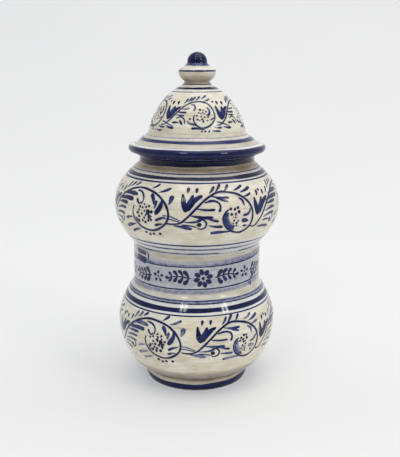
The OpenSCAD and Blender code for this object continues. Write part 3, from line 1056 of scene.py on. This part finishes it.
# the wide faint washes on the lower shoulder and the upper shoulder are partly painted shade: the grey-blue of shaded
# glaze between the lines
PJ.ring(85.8, 16.0, 0.04, soft_edge=0.2, across=15, lift=0.02)
PJ.ring(137.2, 11.0, 0.04, soft_edge=0.2, across=11, lift=0.02)
PJ.ring(197.4, 9.6, 0.04, soft_edge=0.2, across=11, lift=0.02)
PJ.ring(79.6, 1.35, 0.86)
PJ.ring(83.9, 4.8, 0.90, across=9, uneven=0.04)
PJ.ring(88.8, 1.3, 0.84)
PJ.ring(91.0, 1.5, 0.60)
PJ.ring(90.3, 3.6, 0.38, across=7, lift=0.025)
PJ.ring(132.5, 3.5, 0.24, across=7, lift=0.025)
PJ.ring(137.0, 4.0, 0.28, across=7, lift=0.025)
PJ.ring(141.2, 3.4, 0.24, across=7, lift=0.025)
PJ.ring(132.5, 1.9, 0.92)
PJ.ring(137.0, 2.0, 0.96)
PJ.ring(141.2, 2.1, 0.90)
PJ.ring(194.4, 1.7, 0.82)
PJ.ring(197.5, 4.1, 0.98, soft_edge=0.75, across=9, uneven=0.04)
PJ.ring(200.9, 1.4, 0.60)
# the neck band is cobalt, given ink past 1 so it takes the darkest stop as painted shade under the lid's flange
s_a, s_b = skin_jar.s_of(205.9), skin_jar.s_of(211.6)
PJ.ring(0, s_b - s_a, 1.10, soft_edge=0.95, wander=0.06, uneven=0.03, across=13, s=(s_a + s_b) / 2)
s_a, s_b = skin_jar.s_of(211.4), skin_jar.length - 0.3
PJ.ring(0, s_b - s_a, 0.66, soft_edge=0.8, wander=0.05, uneven=0.08, across=9, s=(s_a + s_b) / 2)
PJ.build()

PU = Paint("cobalt_upper_frieze", skin_jar, "jar", "jar_glaze", 21, 1.3)
frieze(PU, 138.0, 36.0, 75.2, -43.0, 80.5, 77.0, 1.0)
PU.build()

PL = Paint("cobalt_lower_frieze", skin_jar, "jar", "jar_glaze", 37, 1.3)
PL.loaded, PL.leaf = 0.9, 0.82
frieze(PL, 26.0, 31.5, 73.6, -31.5, 80.0, 74.1, 0.955, tulip_ink=1.0)
PL.build()

# -- foot
PF = Paint("cobalt_foot_band", skin_foot, "jar", "foot_glaze", 5, 1.3, 0.6)
s_a, s_b = skin_foot.s_of(0.2), skin_foot.s_of(7.3)
PF.ring(0, s_b - s_a, 0.92, soft_edge=0.7, wander=0.08, uneven=0.04, across=9, s=(s_a + s_b) / 2)
PF.ring(11.7, 1.5, 0.62, wander=0.05)
PF.build()

# -- lid
PD = Paint("cobalt_lid_bands", skin_lid, "lid", "lid_glaze", 17, 2.2)
s_a, s_b = 0.1, skin_lid.s_of(220.8)
PD.ring(0, s_b - s_a, 0.93, soft_edge=0.75, wander=0.10, uneven=0.05, across=17, s=(s_a + s_b) / 2)
PD.ring(222.0, 0.9, 0.40, wander=0.05)
PD.ring(226.3, 4.1, 0.72, soft_edge=0.8, across=9)
PD.ring(229.6, 1.0, 0.38)
PD.ring(267.0, 1.1, 0.62)
PD.ring(269.9, 3.4, 1.05, across=7)
PD.build()

PT = Paint("cobalt_lid_frieze", skin_lid, "lid", "lid_glaze", 29, 2.2)
for i in range(5):
    PT.zone(231.0, 43.6, 5.0 + i * (TAU * 43.6 / 5), 1.0)
    PT.z_s += 18.8
    lid_unit(PT)
PT.build()

# -- knob
PK = Paint("cobalt_knob", skin_knob, "lid", "knob_glaze", 3, 2.2, 0.5)
PK.ring(273.2, 1.2, 0.80)
PK.ring(284.7, 1.5, 0.93, wander=0.05)
s_a, s_b = skin_knob.s_of(289.0), skin_knob.s_of(291.2)
PK.ring(0, s_b - s_a, 0.58, soft_edge=0.7, wander=0.05, across=7, s=(s_a + s_b) / 2)
s_a, s_b = skin_knob.s_of(290.9), skin_knob.length - 0.35
n_cap = 26
th = -np.arange(SEG) * TAU / SEG
ss = np.linspace(s_a, s_b, n_cap)
PK.grid(np.repeat(th[:, None], n_cap, 1), np.repeat(ss[None, :], SEG, 0),
        np.full((SEG, n_cap), 0.95), closed=True, lift=0.05)
PK.build()


# -- label band round the waist, with a floral ornament
def label_y(x, y):
    """The ribbon was painted by hand and climbs a little to the right."""
    return y + 0.00042 * (x + 30) * abs(x + 30) * 0.35 + 0.018 * x


PW = Paint("cobalt_waist_label", skin_jar, "jar", "jar_glaze", 41, 1.3)
PW.bleed = 0.38


def rosette(P, x, y, r, petals, turn, ink=0.95):
    for i in range(petals):
        a = i * TAU / petals + turn
        ca, sa = math.cos(a), math.sin(a)
        P.stroke([(x + 0.32 * r * ca, y + 0.32 * r * sa), (x + r * ca, y + r * sa)], [r * 0.20, r * 0.40, r * 0.24],
                 [ink, ink * 0.88, ink], 0.040, step=0.5)
    P.dot(x, y, r * 0.17, ink, 1.0)


def spray(P, x0, x1, lean):
    """A laurel branch: a stem with pairs of leaves, the tip at x1."""
    L = x1 - x0
    f = 1 if L > 0 else -1
    wave = lambda t: 13.4 + 1.6 * lean * math.sin(t * math.pi)
    P.stroke([(x0 + L * t, label_y(x0 + L * t, wave(t))) for t in np.linspace(0, 0.94, 9)], [1.1, 1.0, 0.9, 0.7], 0.98)
    for i in range(4):
        t = 0.10 + 0.235 * i
        k = 1.0 - 0.09 * i
        x = x0 + L * t
        Y = label_y(x, wave(t))
        for d in (1, -1):
            P.comma((x + f * 4.6 * k, Y + d * 5.8 * k), (x + f * 0.3, Y + d * 0.5), 3.0 * k, 0.96, -0.10 * d * f)
    P.comma((x1 + f * 2.6, label_y(x1, wave(1.0))), (x1 - f * 1.6, label_y(x1, wave(1.0))), 2.6, 0.96)


for half in (0, 1):
    PW.zone(97.0, 58.6, half * math.pi * 58.6, 1.0)
    X = np.linspace(-84, 84, 70)
    # pale wash of the panel
    PW.stroke([(x, label_y(x, 13.6)) for x in X[::3]], 19.8, 0.27, 0.024, across=19, edge=0.8, raw=True)
    # border washes and outlines
    PW.stroke([(x, label_y(x, 26.4)) for x in X[::3]], 5.6, [0.40, 0.32, 0.26, 0.30, 0.40, 0.42], 0.026, across=9, edge=0.3, raw=True)
    PW.stroke([(x, label_y(x, 25.0)) for x in X[::3]], 2.4, [0.50, 0.44, 0.40, 0.44, 0.48], 0.030, across=5, edge=0.6, raw=True)
    PW.stroke([(x, label_y(x, 23.6)) for x in X[::3]], [0.8, 1.0, 0.8, 1.1, 0.8], 0.84)
    PW.stroke([(x, label_y(x, 3.6)) for x in X[::3]], [0.9, 1.0, 0.9, 1.0, 0.8], 0.84)
    PW.stroke([(x, label_y(x, 1.0)) for x in X[::3]], 5.0, [0.42, 0.36, 0.38, 0.34, 0.40], 0.026, across=9, edge=0.4, raw=True)
    for x in (-84, 84):
        PW.stroke([(x, label_y(x, 2.6)), (x * 1.01, label_y(x, 13)), (x, label_y(x, 24.4))], [1.0, 1.4, 1.0], 0.85)
    # folded end, upper left
    PW.stroke([(-66, 24.8), (-57, 24.6), (-49.5, 24.0)], [5.4, 5.2, 4.4], [0.74, 0.90, 0.96], 0.040)
    PW.stroke([(-66, 30.6), (-56, 30.4), (-50, 29.6)], [2.6, 2.6, 2.0], [0.46, 0.52, 0.62], 0.038)
    PW.stroke([(-66, 27.9), (-57, 27.7), (-50.4, 27.2)], 0.7, 0.0, 0.044)
    PW.stroke([(-48.2, 32.0), (-47.0, 28.4), (-47.8, 24.2)], [1.0, 1.4, 1.0], 0.72)
    PW.stroke([(-66, 32.4), (-56, 32.4), (-48.4, 31.8)], 0.7, 0.70)
    # folded end, lower right
    PW.stroke([(63, 9.4), (57.5, 7.2), (56.4, 3.8), (59, 1.4)], [1.0, 2.2, 2.0, 0.8], [0.70, 0.66, 0.6, 0.55])
    PW.stroke([(52, 5.8), (55.0, 2.4), (59, 0.0)], [0.7, 1.4, 0.9], 0.5)
    # floral ornament: rosettes, and laurel branches that spring from them
    for x, r, k in ((-35.4, 5.6, 5), (6.0, 8.6, 8), (47.4, 5.6, 5), (-76.0, 6.4, 6)):
        rosette(PW, x, label_y(x, 13.4), r, k, 0.25 if k == 8 else 0.3)
    for x0, x1, lean in ((-4.6, -25.6, 1), (16.6, 37.6, 1), (-43.0, -64.0, -1), (55.0, 76.0, -1)):
        spray(PW, x0, x1, lean)
PW.build()

# ------------------------------------------------------------------ stage
scene = bpy.context.scene


def stage_mesh(name, verts, faces, mat):
    me = bpy.data.meshes.new(name)
    me.from_pydata(verts, [], faces)
    me.materials.append(mat)
    me.polygons.foreach_set("use_smooth", np.ones(len(faces), bool))
    me.update()
    o = bpy.data.objects.new(name, me)
    scene.collection.objects.link(o)
    return o


def paper_material():
    m, n, b = base_material("pale_paper")
    tc = n.new("ShaderNodeTexCoord").outputs["Object"]
    a = n.noise(tc, 3.0, 3.0, 0.5)
    c = n.mix(n.range(a, 0.3, 0.7, 0, 1), (0.875, 0.872, 0.868, 1), (0.895, 0.892, 0.888, 1))
    sep = n.new("ShaderNodeSeparateXYZ")
    n.link(tc, sep.inputs[0])
    # painted shade on the floor: greyer round where the jar stands, and much darker towards the front
    floor_painted_shade = n.ramp(
        n.range(sep.outputs[1], -1.5, 0.5, 0.0, 1.0),
        [(0.0, grey(0.28)), (0.20, grey(0.36)), (0.42, grey(0.92)), (0.58, grey(1.0)), (0.66, grey(0.925)), (0.71, grey(0.91)), (0.80, grey(0.955)), (1.0, grey(0.98))],
    )
    # painted light: the wall a touch lighter higher up
    wall = n.range(sep.outputs[2], 0.3, 1.8, 1.0, 1.02)
    # the painted floor shade and the painted wall light, together
    fall = n.mix(1.0, floor_painted_shade, wall, "MULTIPLY")
    c = n.mix(1.0, n.mix(1.0, c, (0.70, 0.672, 0.64, 1), "MULTIPLY"), fall, "MULTIPLY")
    n.link(c, b.inputs["Base Color"])
    # painted light: the paper glows faintly, which keeps its shadows open and a little blue
    n.link(n.mix(1.0, fall, (0.265, 0.288, 0.318, 1), "MULTIPLY"), b.inputs["Emission Color"])
    b.inputs["Emission Strength"].default_value = 1.0
    b.inputs["Roughness"].default_value = 0.75
    b.inputs["Specular IOR Level"].default_value = 0.25
    return m


M_PAPER = paper_material()
# one sweep of paper: flat floor, then a wide curve up to a wall
prof = [(-3.0, 0.0), (0.6, 0.0)]
R_SWEEP = 1.1
for i in range(1, 25):
    a = math.radians(90 * i / 24)
    prof.append((0.6 + R_SWEEP * math.sin(a), R_SWEEP * (1 - math.cos(a))))
prof.append((0.6 + R_SWEEP, 3.2))
W = 3.5
verts = []
for y, z in prof:
    verts += [(-W, y, z + CAD_LO.z), (W, y, z + CAD_LO.z)]
faces = [(2 * i, 2 * i + 1, 2 * i + 3, 2 * i + 2) for i in range(len(prof) - 1)]
stage_mesh("paper_sweep", verts, faces, M_PAPER)

# ----------------------------------------------------------------- camera
cam_data = bpy.data.cameras.new("camera")
cam = bpy.data.objects.new("camera", cam_data)
scene.collection.objects.link(cam)
F_PX = 720.0
PITCH, ROLL = 13.25, -0.22
cam_data.sensor_fit = "AUTO"
cam_data.sensor_width = 36.0
cam_data.lens = F_PX * 36.0 / 457.0
cam_data.clip_start, cam_data.clip_end = 0.05, 50
cam_data.dof.use_dof = False
EYE = Vector((3.0 * K, -652.2 * K, 294.8 * K + Z0))
cam.location = EYE
from mathutils import Matrix

look = Vector((0, math.cos(math.radians(PITCH)), -math.sin(math.radians(PITCH))))
q = look.to_track_quat("-Z", "Y")
cam.rotation_mode = "QUATERNION"
cam.rotation_quaternion = q @ Matrix.Rotation(math.radians(-ROLL), 3, "Z").to_quaternion()
scene.camera = cam


# ----------------------------------------------------------------- lights
def area(name, az, el, dist, size, power, colour=(1, 1, 1), shape="RECTANGLE", size_y=None, target=(0, 0, 0.14)):
    d = bpy.data.lights.new(name, "AREA")
    d.shape = shape
    d.size = size
    d.size_y = size_y or size
    d.energy = power
    d.color = colour
    o = bpy.data.objects.new(name, d)
    a, e = math.radians(az), math.radians(el)
    t = Vector(target)
    v = Vector((math.sin(a) * math.cos(e), -math.cos(a) * math.cos(e), math.sin(e)))
    o.location = t + v * dist
    o.rotation_mode = "QUATERNION"
    o.rotation_quaternion = (-v).to_track_quat("-Z", "Y")
    scene.collection.objects.link(o)
    return o


# two lamps with a divided front on each side, and a wide soft one overhead
for side, az, el, dist, watt in (("left", -22.75, 36.0, 3.0, 3.9), ("right", 48.5, 30.4, 3.0, 4.9)):
    for j in (-1, 1):
        area("key_%s_%d" % (side, j + 1), az + j * 3.1, el, dist, 0.17, watt, (1.0, 0.975, 0.94), size_y=0.46)
# broader, weaker panels higher up, that show as glows on the upper belly and the dome
area("glow_left", -33, 60, 3.0, 0.5, 5.5, (1.0, 0.985, 0.96))
area("glow_right", 61, 50, 3.0, 0.5, 4.0, (1.0, 0.985, 0.96))
area("overhead", 54, 78, 1.7, 1.8, 11.2, (1.0, 0.99, 0.975), size_y=1.6)

world = bpy.data.worlds.new("studio")
scene.world = world
world.use_nodes = True
bg = world.node_tree.nodes["Background"]
wn = Nodes(world.node_tree)
wc = wn.new("ShaderNodeTexCoord").outputs["Generated"]
ws = wn.new("ShaderNodeSeparateXYZ")
wn.link(wc, ws.inputs[0])
# the room is a little darker on the side where nobody put a white panel
wl = wn.range(ws.outputs[1], -1.0, 0.15, 0.40, 0.73)
wl = wn.math("ADD", wl, wn.range(ws.outputs[2], 0.15, 0.9, 0.0, 0.12))
wl = wn.math("MULTIPLY", wl, wn.range(ws.outputs[0], -1.0, 1.0, 0.90, 1.06))
bg.inputs[0].default_value = (0.945, 0.972, 1.0, 1)
wn.link(wl, bg.inputs[1])

scene.view_settings.view_transform = "Standard"
scene.view_settings.look = "None"
scene.view_settings.exposure = 0.0
scene.view_settings.gamma = 1.0
